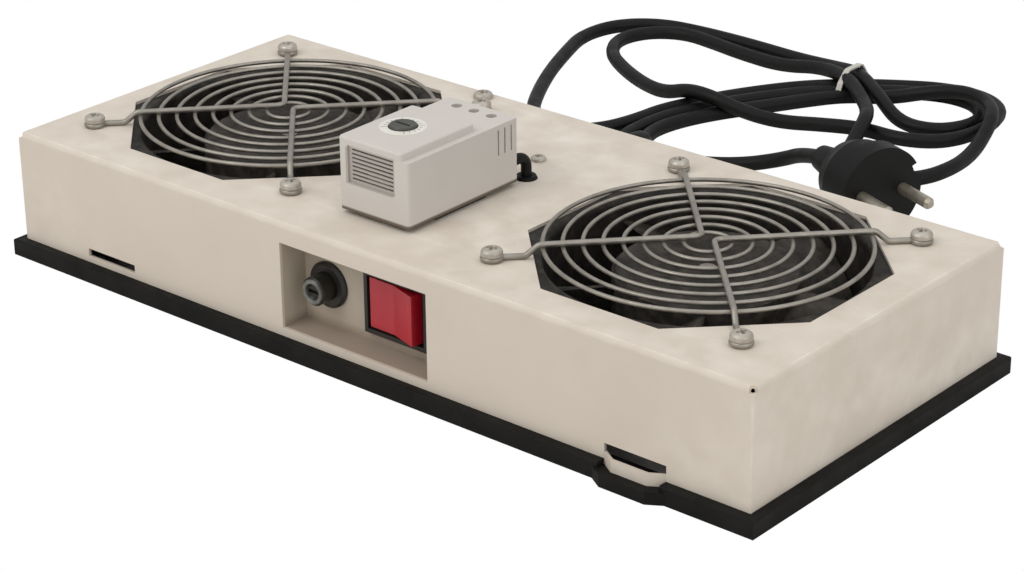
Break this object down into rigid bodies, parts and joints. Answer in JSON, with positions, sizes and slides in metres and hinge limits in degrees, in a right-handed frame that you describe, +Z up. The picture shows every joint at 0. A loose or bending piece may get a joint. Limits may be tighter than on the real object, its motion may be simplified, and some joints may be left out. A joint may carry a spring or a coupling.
{
  "type": "rack fan tray",
  "caption": "Steel rack fan tray with two guarded axial fans, a thermostat, and a recessed rocker switch and fuse holder, with a mains cord.",
  "frame": {"origin": "centre of the tray's footprint, on the underside of the edge seal", "axes": "+X along the tray's length, towards the right as seen from the switch side; -Y is the front wall with the switch and fuse holder; +Z up"},
  "size_m": [0.353, 0.3804, 0.0811],
  "materials": {
    "cream_steel": "fine satin paint",
    "black_rubber": "dull",
    "black_casting": "satin",
    "black_plastic": "matte",
    "dark_plastic": "matte",
    "grey_plastic": "fine matte",
    "white_plastic": "matte",
    "steel": "zinc plated",
    "lamination_steel": "varnished",
    "copper": "enamelled",
    "bright_wire": "plated, dulled",
    "red_lens": "gloss",
    "glass_tube": "clear",
    "tinned_brass": "dull",
    "cord_rubber": "smooth"
  },
  "bodies": {
    "tray": {"housing": "cream_steel", "control_pan": "cream_steel", "edge_seal": "black_rubber", "fan_frame_left": "black_casting", "fan_bearings_left": "steel", "fan_stator_left": "lamination_steel", "fan_windings_left": "copper", "finger_guard_left": "bright_wire", "guard_screws_left": "steel", "guard_nuts_left": "steel", "fan_frame_right": "black_casting", "fan_bearings_right": "steel", "fan_stator_right": "lamination_steel", "fan_windings_right": "copper", "finger_guard_right": "bright_wire", "guard_screws_right": "steel", "guard_nuts_right": "steel", "switch_body": "black_plastic", "switch_lamp": "glass_tube", "switch_terminals": "tinned_brass", "fuse_holder_body": "black_plastic", "fuse_holder_nut": "black_plastic", "fuse_terminals": "tinned_brass", "thermostat_rail": "steel", "rail_screws": "steel", "rail_nuts": "steel", "thermostat_base": "grey_plastic", "thermostat_cover": "grey_plastic", "thermostat_bimetal": "tinned_brass", "thermostat_contact_block": "black_plastic", "thermostat_terminals": "tinned_brass", "thermostat_lead": "cord_rubber", "lead_grommet": "black_rubber", "strain_relief": "cord_rubber", "relief_locknut": "black_plastic", "terminal_block": "white_plastic", "block_screw": "steel", "earth_screw": "steel", "earth_nut": "steel", "cord_lead": "cord_rubber", "cord_hank": "cord_rubber", "cord_plug_lead": "cord_rubber", "plug_body": "cord_rubber", "plug_pins": "tinned_brass"},
    "left_fan": {"fan_rotor_left": "black_plastic", "fan_shaft_left": "steel"},
    "right_fan": {"fan_rotor_right": "black_plastic", "fan_shaft_right": "steel"},
    "rocker": {"switch_rocker": "red_lens"},
    "dial": {"thermostat_dial": "dark_plastic"},
    "cap": {"fuse_cap": "black_plastic", "fuse_link": "glass_tube"}
  },
  "joints": [
    {"name": "left_fan_spin", "type": "hinge", "parent": "tray", "child": "left_fan", "pos_m": [-0.1018, 0.0018, 0.03], "axis": [0, 0, 1], "continuous": true},
    {"name": "right_fan_spin", "type": "hinge", "parent": "tray", "child": "right_fan", "pos_m": [0.0988, 0.0018, 0.03], "axis": [0, 0, 1], "continuous": true},
    {"name": "rocker_tilt", "type": "hinge", "parent": "tray", "child": "rocker", "pos_m": [0.0127, -0.0592, 0.0263], "axis": [0, 0, 1], "range_deg": [0, 18]},
    {"name": "dial_turn", "type": "hinge", "parent": "tray", "child": "dial", "pos_m": [-0.0106, -0.032, 0.078], "axis": [0, 0, 1], "range_deg": [-135, 135]},
    {"name": "fuse_cap_turn", "type": "hinge", "parent": "tray", "child": "cap", "pos_m": [-0.0215, -0.06, 0.0259], "axis": [0, 1, 0], "range_deg": [0, 45]}
  ]
}
